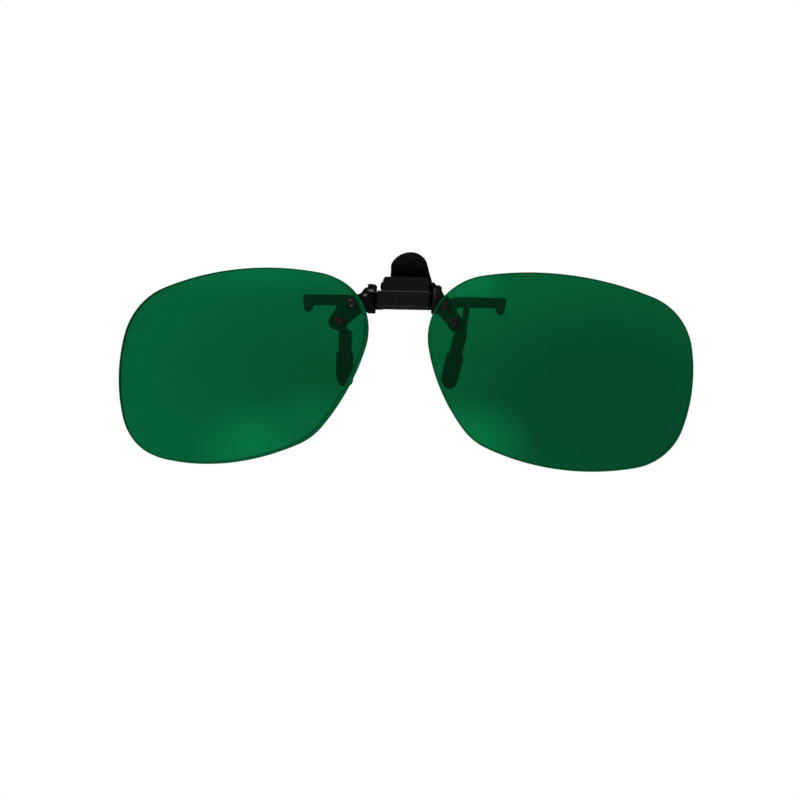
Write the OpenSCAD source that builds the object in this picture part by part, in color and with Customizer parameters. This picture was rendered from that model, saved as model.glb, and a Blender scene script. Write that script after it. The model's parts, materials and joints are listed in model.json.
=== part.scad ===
// Flip-up laser safety lenses with a sprung clip for spectacles.
// Worn position: X to the photograph's right, Y towards the wearer, Z up. The origin is on the
// middle plane, in the plane of the front jaw's soft pads, 0.2 mm above the flip axis.

/* [Lenses] */
// Width of a lens across its upper corners
lens_w = 61.1; // [58:0.1:68]
// Height of a lens from its highest to its lowest corner
lens_h = 43.4; // [41:0.1:50]
// Curve radius of the lens front
lens_r = 130; // [100:5:200]
// Thickness of a lens
lens_t = 2; // [1.6:0.1:2.4]
// Distance of a lens centre from the middle plane
lens_x = 39.4; // [38.4:0.1:42]
// Depth of the lens front at its centre
lens_y = -5.9; // [-6.5:0.1:-5.7]
// Height of a lens centre
lens_z = -16; // [-16.6:0.1:-15.4]
// Wrap of each lens round the face, in degrees
lens_wrap = 9.8; // [9:0.2:10.6]
// Radius of the four lens corners
corner_r = 14.3; // [12:0.2:14.6]
// Curve radius of the top edge
top_r = 80; // [66:1:110]
// Curve radius of the nose edge
nose_r = 44.5; // [38:0.5:70]
// Curve radius of the bottom edge
bottom_r = 55; // [46:1:90]
// Curve radius of the temple edge
temple_r = 39.5; // [34:0.5:60]
// Distance of the upper corner's centre from the lens centre, nose side
nose_top = 17.4; // [17:0.1:18.4]
// Distance of the lower corner's centre from the lens centre, nose side
nose_low = 11.1; // [9:0.1:12]
// Step inward from the upper to the lower corner, temple side
temple_step = 0.6; // [0:0.1:1.2]
// Height of the upper corner's centre, nose side
nose_rise = 7; // [6:0.1:7.6]
// Fall of the top edge from the nose side's corner to the temple side's
top_fall = 2.6; // [2:0.1:3.2]
// Fall of the bottom edge from the nose side's corner to the temple side's
bottom_fall = 2.1; // [1.5:0.1:2.7]

/* [Lens brackets] */
// Thickness of the bracket's ear and bend
ear_t = 1.6; // [1.4:0.1:1.7]
// Height of the ear
ear_h = 6.6; // [6.4:0.1:6.7]
// Step from the ear's top edge down to the arm in front of it
ear_step = 0.9; // [0.7:0.1:1.3]
// Outer radius of the bend between ear and wing
bend_r = 1.3; // [0.8:0.1:1.6]
// Depth of the ear behind the flip axis
ear_back = 1.2; // [1:0.1:1.6]
// Thickness of the wing behind the lens
wing_t = 0.8; // [0.7:0.05:0.85]
// Gap between the lens and the wing
wing_gap = 0.05; // [0.03:0.01:0.1]
// Radius of the ear's round rear edge
ear_round = 3.35; // [3.3:0.05:3.4]
// Width of the shoulder that slopes from the ear to the wing
shoulder_w = 2.2; // [1.9:0.1:2.5]
// Drop of the shoulder's outer end below the bar's top edge
shoulder_drop = 0; // [0:0.1:0.4]
// Metal beyond the upper screw, temple side
wing_edge = 2.2; // [1.9:0.1:2.6]
// Extra metal on the temple side of the left bracket's wing
wing_spare = 1.7; // [0:0.1:2]
// Radius of the wing's lobe round the lower screw
lobe_r = 2; // [1.9:0.05:2.2]
// Distance of the lobe's centre outside the lower screw
lobe_shift = 0.1; // [0:0.1:0.3]
// Angle at which the lobe's round edge starts, nose side
lobe_from = -140; // [-150:1:-130]
// Angle at which the lobe's round edge ends, temple side
lobe_to = 10; // [0:1:20]
// Height of the wing's waist above the lower screw
waist_rise = 0.5; // [0.2:0.1:1]

/* [Lens fasteners] */
// Distance of the upper screw from the middle plane
screw_upper_x = 11.2; // [11:0.1:11.6]
// Height of the upper screw
screw_upper_z = -2.2; // [-2.6:0.1:-1.9]
// Distance of the lower screw from the middle plane
screw_lower_x = 13.7; // [13.4:0.1:14]
// Height of the lower screw
screw_lower_z = -6.3; // [-6.6:0.1:-6]
// Diameter of the screw shank
screw_d = 1.3; // [1.1:0.1:1.5]
// Diameter of the screw head
screw_head_d = 1.9; // [1.8:0.1:2.1]
// Height of the screw head
screw_head_h = 0.6; // [0.5:0.1:0.8]
// Diameter of the nylon washer under the head
washer_d = 2.1; // [2:0.1:2.4]
// Thickness of the nylon washer
washer_t = 0.25; // [0.2:0.05:0.4]
// Width of the nut across its flats
nut_w = 2.4; // [2.2:0.1:2.6]
// Height of the nut
nut_h = 0.9; // [0.7:0.1:1.1]
// Bevel of the screw head
head_bevel = 0.2; // [0.1:0.05:0.3]
// Width of the slot in the screw head
slot_w = 0.3; // [0.2:0.05:0.4]
// Clearance round the screws in their holes
screw_gap = 0.05; // [0.03:0.01:0.1]
// Gap between the stacked faces of a fastening
face_gap = 0.03; // [0.02:0.01:0.05]

/* [Housing] */
// Width of the hinge block
block_w = 12.4; // [12:0.1:12.6]
// Height of the hinge block
block_h = 3.7; // [3.6:0.1:4]
// Depth of the block's front face
block_front = -3.6; // [-3.9:0.1:-3.5]
// Depth of the block's rear face
block_rear = 1.45; // [1.4:0.05:1.55]
// Bevel along the block's front edges
block_bevel = 0.25; // [0.2:0.05:0.4]
// Bevel along the block's lower rear edge
rear_bevel = 1; // [0.6:0.1:1.2]
// Width of the spring box above the block
box_w = 10.8; // [10.6:0.1:11.1]
// Depth of the spring box's front face
box_front = -2; // [-2.3:0.05:-1.95]
// Wall of the spring box
box_wall = 1; // [0.8:0.05:1]
// Radius of the spring box round the lever pin
boss_r = 1.9; // [1.8:0.05:2]
// Radius of the spring box's upper corners
box_round = 0.8; // [0.4:0.1:1.2]

/* [Hinges] */
// Depth of the flip axis
flip_y = -2.4; // [-2.45:0.05:-2.35]
// Height of the flip axis
flip_z = -0.2; // [-0.3:0.05:-0.1]
// Diameter of the flip pin
flip_pin_d = 1.4; // [1.2:0.1:1.6]
// Diameter of the flip pin's riveted heads
flip_head_d = 2; // [1.8:0.1:2.1]
// Height of the flip pin's riveted heads
flip_head_h = 0.4; // [0.3:0.05:0.5]
// Depth of the lever axis
lever_y = 0.6; // [0.5:0.05:0.7]
// Height of the lever axis
lever_z = 3.3; // [3.2:0.05:3.4]
// Diameter of the lever pin
lever_pin_d = 1.4; // [1.2:0.1:1.6]
// Diameter of the lever pin's heads
lever_head_d = 1.9; // [1.7:0.1:2.3]
// Height of the lever pin's heads
lever_head_h = 0.25; // [0.2:0.05:0.35]
// Radial clearance of a turning pin
run_gap = 0.04; // [0.03:0.01:0.08]
// Radial clearance of a fixed pin
fix_gap = 0.02; // [0.01:0.01:0.03]
// Outer diameter of the friction washers
friction_d = 3.2; // [3:0.1:3.4]
// Gap between faces that slide
slide_gap = 0.1; // [0.06:0.01:0.14]
// Thickness of the friction washers
friction_t = 0.5; // [0.4:0.05:0.6]

/* [Front jaw] */
// Width of the front jaw over its hooks
jaw_w = 48; // [46:0.2:50]
// Height of the jaw bar
bar_h = 2.3; // [2:0.1:2.6]
// Height of the bar's top edge
bar_top = 0.5; // [0.3:0.1:0.7]
// Shallow notch in the bar's lower edge behind the block
bar_notch = 0.5; // [0.2:0.1:0.6]
// Thickness of the bar
bar_t = 1; // [0.8:0.1:1.1]
// Depth of the bar's middle line in front of the rear jaw
bar_y = -1.6; // [-1.8:0.1:-1.5]
// Reach of a hook below the bar
hook_drop = 1.6; // [1.2:0.1:2.2]
// Width of a hook at the bar
hook_w = 2.4; // [2.2:0.1:2.8]
// Narrowing of a hook on each side towards its round tip
hook_taper = 0.3; // [0.2:0.1:0.5]
// Room between a bracket's ear and the bar's forward bend
bend_room = 0.2; // [0.1:0.1:0.4]
// Width of the bar's forward bend on each side
bar_bend = 5.2; // [4.8:0.1:5.6]
// Width of the straight stretch outside the forward bend
bar_straight = 1.6; // [1:0.2:2.2]
// Thickness of the soft pad behind a hook
pad_t = 0.6; // [0.4:0.1:0.8]
// Bare edge round the soft pad
pad_edge = 0.15; // [0.1:0.05:0.3]

/* [Rear jaw] */
// Thickness of the rear jaw
rear_t = 0.9; // [0.8:0.1:1]
// Height of the rear jaw's arms
arm_h = 1.6; // [1.5:0.1:1.8]
// Height of the arms' top edge
arm_top = 0.5; // [0.3:0.1:0.6]
// Depth of the arms where the legs start
arm_y = 1; // [0.8:0.1:1.4]
// Half width of the rear jaw's flat middle
arm_flat = 7.2; // [6.8:0.1:7.6]
// Straight end of each arm inside its leg
arm_end = 1; // [0.8:0.1:1.4]
// Distance of the leg tops from the middle plane
leg_x = 14.3; // [14:0.1:14.8]
// Width of the narrow leg tops
leg_neck = 1.2; // [1:0.1:1.6]
// Width of the legs
leg_w = 2.9; // [2.7:0.1:3]
// Length of the narrow leg tops below the arms
neck_l = 6.5; // [5.5:0.5:7.5]
// Length over which a neck widens into its leg
flare = 1.8; // [1.4:0.1:2.2]
// Step of a leg's outer edge beyond its neck
leg_step = 0.3; // [0.1:0.1:0.5]
// Length of the legs below the arms
leg_l = 19.6; // [18.6:0.1:20.2]
// Forward slant of the legs, in degrees
leg_tilt = 14; // [13:0.5:15]
// Inward slant of the legs, in degrees
leg_lean = 6; // [4:0.5:8]
// Width of the rubber sleeves
sleeve_w = 3.7; // [3.6:0.1:3.9]
// Width of the rubber sleeves near their round ends
sleeve_end_w = 3.4; // [3.2:0.1:3.6]
// Thickness of the rubber sleeves
sleeve_t = 2.2; // [2:0.1:2.3]
// Length of the rubber sleeves
sleeve_l = 8; // [7:0.2:9]
// Rubber below the leg's end
sleeve_cap = 0.8; // [0.6:0.1:1]

/* [Thumb lever] */
// Thickness of the lever's sheet
tab_t = 0.9; // [0.8:0.1:1]
// Gap between the spring box and the lever's upright sheet
lever_gap = 0.4; // [0.3:0.05:0.5]
// Height of the lever's knee above the lever pin
knee_rise = 1.1; // [0.9:0.1:1.3]
// Length of sheet taken up by half the knee's bend
knee_bend = 1; // [0.8:0.1:1.2]
// Length of sheet taken up by half the crease
crease_bend = 0.5; // [0.4:0.1:0.8]
// Height of the tab's top
tab_top = 11.6; // [10.9:0.1:12.2]
// Height of the crease across the tab
crease_z = 8.5; // [8.2:0.1:8.8]
// Depth of the crease across the tab
crease_y = 0.2; // [0:0.1:0.6]
// Depth of the tab's top edge
tip_y = 1.5; // [1.2:0.1:2]
// Radius of the tab's round top
tab_r = 4.4; // [4.2:0.1:4.6]
// Height of the lever's shoulders above the lever pin
shoulder_rise = 1.2; // [1:0.1:1.6]
// Narrowing of the lever from its cheeks to its shoulders
lever_narrow = 1.1; // [0.8:0.1:1.3]
// Thickness of a cheek
cheek_t = 0.6; // [0.5:0.05:0.8]
// Radius of the cheek round the lever pin
cheek_r = 1.2; // [1.1:0.05:1.35]

/* [Spring and rivets] */
// Wire diameter of the torsion spring
wire_d = 0.5; // [0.4:0.05:0.55]
// Middle radius of the spring's curls
coil_r = 1.2; // [1.1:0.05:1.25]
// Distance between the curls
coil_pitch = 1.05; // [1:0.05:1.15]
// Gap between the spring's end and the lever
spring_gap = 0.25; // [0.2:0.05:0.3]
// Diameter of the rivet shanks
rivet_d = 1.2; // [1:0.1:1.4]
// Diameter of the rivet heads
rivet_head_d = 2; // [1.8:0.1:2.2]
// Height of the rivet heads
rivet_head_h = 0.3; // [0.2:0.05:0.35]
// Distance of the front rivets from the middle plane
front_rivet_x = 3; // [2.6:0.1:3.2]
// Distance of the rear rivets from the middle plane
rear_rivet_x = 4.6; // [4.2:0.1:5]
// Depth of the rivets in the block
rivet_l = 1.8; // [1.6:0.1:2]

/* [Hidden] */
$fn = 48;
ball_n = 360;
corner_step = 5;
side_step = 2.5;
round_step = 15;
tab_step = 9;

black_paint = [0.07, 0.08, 0.08];
black_rubber = [0.1, 0.1, 0.1];
steel = [0.62, 0.63, 0.65];
lens_green = [0.0, 0.37, 0.2, 0.6];
nylon = [0.85, 0.85, 0.82];

// Lens frame: front vertex, direction of its axis and centre of its curves
lens_front = [lens_x, lens_y, lens_z];
lens_axis = [-sin(lens_wrap), cos(lens_wrap), 0];
lens_centre = lens_front + lens_r * lens_axis;
wing_r = lens_r - lens_t - wing_gap;
stack = lens_t + wing_gap + wing_t;
nut_face = -stack - 2 * face_gap;
temple_top = lens_w - 2 * corner_r - nose_top;
temple_drop = lens_h - 2 * corner_r - nose_rise;
corners = [
    [temple_top, nose_rise - top_fall], [-nose_top, nose_rise],
    [-nose_low, bottom_fall - temple_drop], [temple_top - temple_step, -temple_drop]
];
sides = [top_r, nose_r, bottom_r, temple_r];

// Heights that follow from the sizes above
block_top = flip_z + block_h / 2;
block_low = flip_z - block_h / 2;
box_top = lever_z + boss_r;
bar_low = bar_top - bar_h;
hook_low = bar_low - hook_drop;
arm_low = arm_top - arm_h;
bar_mid = block_rear + bar_t / 2;
tab_front = max(lever_y + boss_r + lever_gap, block_rear + bar_t + rivet_head_h + slide_gap);
tab_y = tab_front + tab_t / 2;
rear_mid = tab_y + tab_t / 2 + rear_t / 2;
cheek_w = box_w + 2 * (slide_gap + cheek_t);
ear_in = block_w / 2 + 2 * slide_gap + friction_t;
ear_out = ear_in + ear_t;
rivet_z = (arm_top + arm_low) / 2;
hook_y = -pad_t - bar_t / 2;
hook_in = jaw_w / 2 - hook_w;
bend_in = ear_out + bend_room;
bend_out = bend_in + bar_bend;
hook_bend = bend_out + bar_straight;

// A cut runs this far past the surface that it starts from, or right through
over = 3;
reach = jaw_w;

function unit(v) = v / norm(v);
function turn(from, to) = from + ((to - from) % 360 + 360) % 360;
function spread(a, b, n) = [for (i = [0:n]) a + (b - a) * i / n];
function arc(c, r, a, b, step) =
    let(n = max(2, ceil((b - a) / step)))
    [for (i = [0:n]) c + r * [cos(a + (b - a) * i / n), sin(a + (b - a) * i / n)]];

// Centre of the arc of radius r that both corner circles touch from inside
function side_centre(p, q, r) =
    let(l = norm(q - p) / 2, h = sqrt((r - corner_r) * (r - corner_r) - l * l), d = unit(q - p))
    (p + q) / 2 + h * [-d[1], d[0]];
side_centres = [for (i = [0:3]) side_centre(corners[i], corners[(i + 1) % 4], sides[i])];
function heading(from, to) = atan2(to[1] - from[1], to[0] - from[0]);
lens_outline = [
    for (i = [0:3])
        let(
            start = heading(side_centres[(i + 3) % 4], corners[i]),
            middle = turn(start, heading(side_centres[i], corners[i])),
            finish = turn(middle, heading(side_centres[i], corners[(i + 1) % 4]))
        )
        for (p = concat(
            arc(corners[i], corner_r, start, middle, corner_step),
            arc(side_centres[i], sides[i], middle, finish, side_step)
        )) p
];

// Smooth step from a to b while x goes from p to q
function ease(x, p, q, a, b) =
    x <= p ? a : x >= q ? b : a + (b - a) * (1 - cos(180 * (x - p) / (q - p))) / 2;

// Outline of a strip of thickness t along a row of points
function strip(row, t) =
    let(
        last = len(row) - 1,
        side = [for (i = [0:last])
            let(d = unit(row[min(i + 1, last)] - row[max(i - 1, 0)]))
            t / 2 * [-d[1], d[0]]]
    )
    concat([for (i = [0:last]) row[i] + side[i]], [for (i = [last:-1:0]) row[i] - side[i]]);

// Smooth curve from a to c that leaves and arrives along its control point b
function curve(a, b, c) =
    [for (k = spread(0, 1, 6)) (1 - k) * (1 - k) * a + 2 * k * (1 - k) * b + k * k * c];

// Round corner of a bent sheet: a curve from one straight stretch to the next
function bend(p, q, s, l) = curve(q + l * unit(p - q), q, q + l * unit(s - q));

// The same points on the other side of the middle plane, in reverse order
function mirrored(row) = [for (i = [len(row) - 1:-1:0]) [-row[i][0], row[i][1]]];

// A row that starts on the middle plane, carried on to its other side
function both_sides(row) = concat([for (p = mirrored(row)) if (p[0] != 0) p], row);

module side_of(side) {
    if (side < 0) mirror([1, 0, 0]) children();
    else children();
}

// Draws a front-view outline (x, z) as a slab from depth y0 to depth y1
module front_slab(y0, y1) {
    translate([0, y1, 0]) rotate([90, 0, 0]) linear_extrude(height = y1 - y0) children();
}

// Draws a side-view outline (y, z) as a slab from x0 to x1
module side_slab(x0, x1) {
    translate([x0, 0, 0]) rotate([90, 0, 90]) linear_extrude(height = x1 - x0) children();
}

module rod(d, x0, x1) {
    translate([x0, 0, 0]) rotate([0, 90, 0]) cylinder(d = d, h = x1 - x0);
}

// Places its children on the lens front at a front-view point, facing out
module on_lens(x, z) {
    dx = (x - lens_centre[0]) / lens_r;
    dz = (z - lens_centre[2]) / lens_r;
    dy = -sqrt(1 - dx * dx - dz * dz);
    translate(lens_centre) rotate([0, 0, atan2(dx, -dy)]) rotate([-asin(dz), 0, 0])
        translate([0, -lens_r, 0]) rotate([90, 0, 0]) children();
}

// Places its children at the upper or the lower screw
module fastening(upper) {
    x = upper ? screw_upper_x : screw_lower_x;
    z = upper ? screw_upper_z : screw_lower_z;
    on_lens(x, z) children();
}

module screw_holes(d) {
    for (upper = [true, false]) fastening(upper) translate([0, 0, -stack - over])
        cylinder(d = d, h = stack + 2 * over);
}

module housing_side() {
    r = block_bevel;
    polygon([
        [block_front + r, block_low], [block_rear - rear_bevel, block_low],
        [block_rear, block_low + rear_bevel], [block_rear, block_top],
        [block_front + r, block_top], [block_front, block_top - r], [block_front, block_low + r]
    ]);
}

module box_side() {
    translate([box_front, flip_z]) square([lever_y - box_front, box_top - flip_z]);
    translate([lever_y, lever_z]) circle(r = boss_r);
}

module box_front_view() {
    r = box_round;
    w = box_w / 2;
    polygon(concat(
        [[-w, block_low], [w, block_low]],
        arc([w - r, box_top - r], r, 0, 90, round_step),
        arc([r - w, box_top - r], r, 90, 180, round_step)
    ));
}

module housing() {
    inner = box_w / 2 - box_wall;
    color(black_paint) difference() {
        union() {
            side_slab(-block_w / 2, block_w / 2) housing_side();
            intersection() {
                side_slab(-box_w / 2, box_w / 2) box_side();
                front_slab(-reach, reach) box_front_view();
            }
        }
        translate([-inner, box_front + box_wall, block_top])
            cube([2 * inner, reach, box_top]);
        translate([0, flip_y, flip_z]) rod(flip_pin_d + 2 * run_gap, -reach, reach);
        translate([0, lever_y, lever_z]) rod(lever_pin_d + 2 * fix_gap, -reach, reach);
        for (side = [-1, 1]) front_rivet_hole(side);
    }
}

module front_rivet_hole(side) {
    translate([side * front_rivet_x, block_rear + over, rivet_z]) rotate([90, 0, 0])
        cylinder(d = rivet_d + 2 * fix_gap, h = rivet_l + over + fix_gap);
}

function bar_line(x) =
    ease(x, bend_in, bend_out, bar_mid, bar_y) + ease(x, hook_bend, hook_in, 0, hook_y - bar_y);
bar_steps = concat([0], spread(bend_in, bend_out, 10), spread(hook_bend, hook_in, 6));
bar_half = concat([for (x = bar_steps) [x, bar_line(x)]], [[jaw_w / 2 + over, hook_y]]);
bar_row = both_sides(bar_half);

// Front view of a hook, drawn in by edge, from the bar round its tip to its top
function hook_points(edge) =
    let(w = jaw_w / 2, tip_r = hook_w / 2 - hook_taper)
    concat(
        [[w - hook_w + edge, bar_low]],
        arc([w - hook_w / 2, hook_low + tip_r], tip_r - edge, 180, 360, round_step),
        [[w - edge, bar_top - edge]]
    );
jaw_half = hook_points(0);

module front_jaw() {
    color(black_paint) difference() {
        intersection() {
            translate([0, 0, hook_low - over]) linear_extrude(height = bar_top - hook_low + 2 * over)
                polygon(strip(bar_row, bar_t));
            front_slab(-reach, reach) polygon(concat(jaw_half, mirrored(jaw_half)));
        }
        for (side = [-1, 1]) front_rivet_hole(side);
        translate([-block_w / 2, block_rear - over, bar_low - over])
            cube([block_w, reach, over + bar_notch]);
    }
}

module hook_pad(side) {
    color(black_rubber) side_of(side) front_slab(-pad_t, 0)
        polygon(concat([[jaw_w / 2 - hook_w + pad_edge, bar_top - pad_edge]], hook_points(pad_edge)));
}

// Rivet along Y: shank from y0 to y1 with its head behind y1
module rivet(y0, y1) {
    translate([0, y1, 0]) rotate([90, 0, 0]) cylinder(d = rivet_d, h = y1 - y0);
    translate([0, y1 + rivet_head_h, 0]) rotate([90, 0, 0])
        cylinder(d1 = rivet_head_d - 2 * rivet_head_h, d2 = rivet_head_d, h = rivet_head_h);
}

module front_rivet(side) {
    color(steel) translate([side * front_rivet_x, 0, rivet_z])
        rivet(block_rear - rivet_l, block_rear + bar_t);
}

module rear_rivet(side) {
    color(steel) translate([side * rear_rivet_x, 0, rivet_z])
        rivet(tab_front, rear_mid + rear_t / 2);
}

module headed_pin(d, head_d, head_h, half) {
    rod(d, -half, half);
    for (side = [-1, 1]) side_of(side) rod(head_d, half, half + head_h);
}

module lever_pin() {
    color(steel) translate([0, lever_y, lever_z])
        headed_pin(lever_pin_d, lever_head_d, lever_head_h, cheek_w / 2 + slide_gap / 2);
}

module flip_pin() {
    color(steel) translate([0, flip_y, flip_z])
        headed_pin(flip_pin_d, flip_head_d, flip_head_h, ear_out);
}

module friction_washer(side) {
    x = block_w / 2 + slide_gap;
    color(steel) side_of(side) translate([0, flip_y, flip_z]) difference() {
        rod(friction_d, x, x + friction_t);
        rod(flip_pin_d + 2 * run_gap, 0, reach);
    }
}

// Front view of a bracket: ear, sloping arm and the wing that carries the lens
module bracket_front_view(side) {
    spare = side < 0 ? wing_spare : 0;
    low = flip_z - ear_h / 2;
    top = flip_z + ear_h / 2;
    shoulder = [ear_out + shoulder_w, bar_top - shoulder_drop];
    arm_start = [ear_out, top - ear_step];
    lobe = [screw_lower_x + lobe_shift + spare / 2, screw_lower_z];
    lobe_arc = arc(lobe, lobe_r, lobe_from, lobe_to, round_step);
    outer_x = screw_upper_x + wing_edge + spare;
    outer_edge = [[outer_x, screw_upper_z - wing_edge / 2], [outer_x, screw_upper_z]];
    brow = [ear_out + shoulder_w / 4, arm_start[1]];
    hollow = [ear_out + shoulder_w * 0.6, shoulder[1]];
    middle = (brow + hollow) / 2;
    polygon(concat(
        [[ear_in, low]],
        curve([ear_out, low], [screw_upper_x, screw_lower_z + waist_rise], lobe_arc[0]), lobe_arc,
        outer_edge, curve(shoulder, hollow, middle), curve(middle, brow, arm_start),
        [[ear_out, top], [ear_in, top]]
    ));
}

// Depth of the wing's front face at a front-view point
function wing_front(x, z) =
    let(dx = x - lens_centre[0], dz = z - lens_centre[2])
    lens_centre[1] - sqrt(wing_r * wing_r - dx * dx - dz * dz);

// Waste outside the round bend between a bracket's ear and its wing
module bend_waste() {
    front = wing_front(ear_in, flip_z);
    slope = asin((flip_z - lens_centre[2]) / wing_r);
    translate([ear_in, front, flip_z]) rotate([-slope, 0, 0]) difference() {
        translate([-over, -over, -ear_h]) cube([bend_r + over, bend_r + over, 2 * ear_h]);
        translate([bend_r, bend_r, -2 * ear_h]) cylinder(r = bend_r, h = 4 * ear_h);
    }
}

module lens_bracket(side) {
    color(black_paint) side_of(side) difference() {
        intersection() {
            front_slab(-reach, reach) bracket_front_view(side);
            translate(lens_centre) sphere(r = wing_r, $fn = ball_n);
            union() {
                intersection() {
                    translate([ear_in, flip_y + ear_back - reach, -ear_h]) cube([ear_t, reach, 2 * ear_h]);
                    union() {
                        translate([0, flip_y, flip_z]) rod(2 * ear_round, 0, reach);
                        translate([0, flip_y - reach, -ear_h]) cube([reach, reach, 2 * ear_h]);
                    }
                }
                difference() {
                    translate([ear_in, -reach, -reach]) cube([reach, reach, 2 * reach]);
                    translate(lens_centre) sphere(r = wing_r - wing_t, $fn = ball_n);
                }
            }
        }
        bend_waste();
        translate([0, flip_y - ear_back - reach, flip_z + ear_h / 2 - ear_step]) cube(reach);
        translate([0, flip_y, flip_z]) rod(flip_pin_d + 2 * fix_gap, 0, reach);
        screw_holes(screw_d + 2 * screw_gap);
    }
}

module lens(side) {
    color(lens_green) side_of(side) difference() {
        intersection() {
            translate(lens_front) rotate([0, 0, lens_wrap]) front_slab(-reach, reach) polygon(lens_outline);
            translate(lens_centre) sphere(r = lens_r, $fn = ball_n);
        }
        translate(lens_centre) sphere(r = lens_r - lens_t, $fn = ball_n);
        screw_holes(screw_d + 2 * screw_gap);
    }
}

module lens_screw(side, upper) {
    seat = washer_t + 2 * face_gap;
    tip = nut_face - nut_h - face_gap;
    color(steel) side_of(side) fastening(upper) difference() {
        union() {
            translate([0, 0, tip]) cylinder(d = screw_d, h = seat - tip);
            translate([0, 0, seat])
                cylinder(d1 = screw_head_d, d2 = screw_head_d - 2 * head_bevel, h = screw_head_h);
        }
        translate([-screw_head_d, -slot_w / 2, seat + screw_head_h / 2])
            cube([2 * screw_head_d, slot_w, screw_head_h]);
    }
}

module lens_washer(side, upper) {
    color(nylon) side_of(side) fastening(upper) translate([0, 0, face_gap]) difference() {
        cylinder(d = washer_d, h = washer_t);
        translate([0, 0, -over]) cylinder(d = screw_d + 2 * screw_gap, h = washer_t + 2 * over);
    }
}

module lens_nut(side, upper) {
    color(steel) side_of(side) fastening(upper) translate([0, 0, nut_face - nut_h]) difference() {
        cylinder(d = nut_w / cos(30), h = nut_h, $fn = 6);
        translate([0, 0, -over]) cylinder(d = screw_d + 2 * fix_gap, h = nut_h + 2 * over);
    }
}

// Side view of the lever's sheet: upright, leaning forward to the crease, then back
foot = [tab_y, arm_low];
knee = [tab_y, lever_z + knee_rise];
crease = [crease_y, crease_z];
tip = [tip_y, tab_top];
tab_row = concat(
    [foot], bend(foot, knee, crease, knee_bend), bend(knee, crease, tip, crease_bend),
    [tip + unit(tip - crease)]
);

module lever_front_view() {
    w = cheek_w / 2;
    half = concat(
        [[w, arm_low], [w, lever_z], [w - lever_narrow, lever_z + shoulder_rise]],
        arc([0, tab_top - tab_r], tab_r, 0, 90 - tab_step, tab_step), [[0, tab_top]]
    );
    polygon(both_sides([for (i = [len(half) - 1:-1:0]) half[i]]));
}

// Side view of a cheek: its top edge falls to where the lever starts to narrow
module cheek_side_view() {
    translate([lever_y, lever_z]) circle(r = cheek_r);
    polygon([
        [lever_y, lever_z - cheek_r], [tab_y, lever_z - cheek_r], [tab_y, lever_z],
        [tab_front, lever_z], [lever_y, lever_z + cheek_r]
    ]);
}

module thumb_lever() {
    w = cheek_w / 2;
    color(black_paint) difference() {
        union() {
            intersection() {
                front_slab(-reach, reach) lever_front_view();
                side_slab(-w, w) polygon(strip(tab_row, tab_t));
            }
            for (side = [-1, 1]) side_of(side) side_slab(w - cheek_t, w) cheek_side_view();
        }
        translate([0, lever_y, lever_z]) rod(lever_pin_d + 2 * run_gap, -reach, reach);
        rear_rivet_holes();
    }
}

module rear_rivet_holes() {
    for (side = [-1, 1]) translate([side * rear_rivet_x, reach, rivet_z]) rotate([90, 0, 0])
        cylinder(d = rivet_d + 2 * fix_gap, h = reach);
}

arm_out = leg_x - arm_end;
function arm_line(x) = ease(x, arm_flat, arm_out, rear_mid, arm_y);
arm_half = [for (x = concat([0], spread(arm_flat, arm_out, 11), [leg_x + leg_neck])) [x, arm_line(x)]];
arm_row = both_sides(arm_half);

// Places its children in the plane of a leg, with the origin at the foot of the arm
module in_leg() {
    translate([leg_x, arm_y, arm_low]) rotate([-leg_tilt, 0, 0]) children();
}

// Places its children on the leg's slanting lower part, with the origin at its top
module on_leg_line() {
    translate([(leg_neck - leg_w) / 2 + leg_step, -neck_l]) rotate(-leg_lean) children();
}
tip_l = leg_l - neck_l;

module leg_outline() {
    n = leg_neck / 2;
    w = leg_w / 2;
    polygon([
        [-n, arm_h / 2], [n, arm_h / 2], [n, flare / 2 - neck_l], [n + leg_step, -flare / 2 - neck_l],
        [n + leg_step - leg_w, -flare / 2 - neck_l], [-n, flare / 2 - neck_l]
    ]);
    on_leg_line() {
        translate([-w, w - tip_l]) square([leg_w, tip_l - w - flare / 3]);
        translate([0, w - tip_l]) circle(r = w);
    }
}

module rear_jaw() {
    color(black_paint) difference() {
        union() {
            translate([0, 0, arm_low]) intersection() {
                linear_extrude(height = arm_h) polygon(strip(arm_row, rear_t));
                translate([-leg_x - leg_neck / 2, -reach, -over])
                    cube([2 * leg_x + leg_neck, 2 * reach, arm_h + 2 * over]);
            }
            for (side = [-1, 1]) side_of(side) in_leg() front_slab(-rear_t / 2, rear_t / 2) leg_outline();
        }
        rear_rivet_holes();
    }
}

module leg_sleeve(side) {
    r = sleeve_end_w / 2;
    s = leg_w / 2 + fix_gap;
    low = -tip_l - sleeve_cap;
    color(black_rubber) side_of(side) in_leg() difference() {
        front_slab(-sleeve_t / 2, sleeve_t / 2) on_leg_line() {
            polygon([
                [-r, low + r], [r, low + r], [sleeve_w / 2, low + sleeve_l], [-sleeve_w / 2, low + sleeve_l]
            ]);
            translate([0, low + r]) circle(r = r);
        }
        front_slab(-rear_t / 2 - fix_gap, rear_t / 2 + fix_gap) on_leg_line() {
            translate([-s, leg_w / 2 - tip_l]) square([2 * s, leg_l]);
            translate([0, leg_w / 2 - tip_l]) circle(r = s);
        }
    }
}

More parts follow.
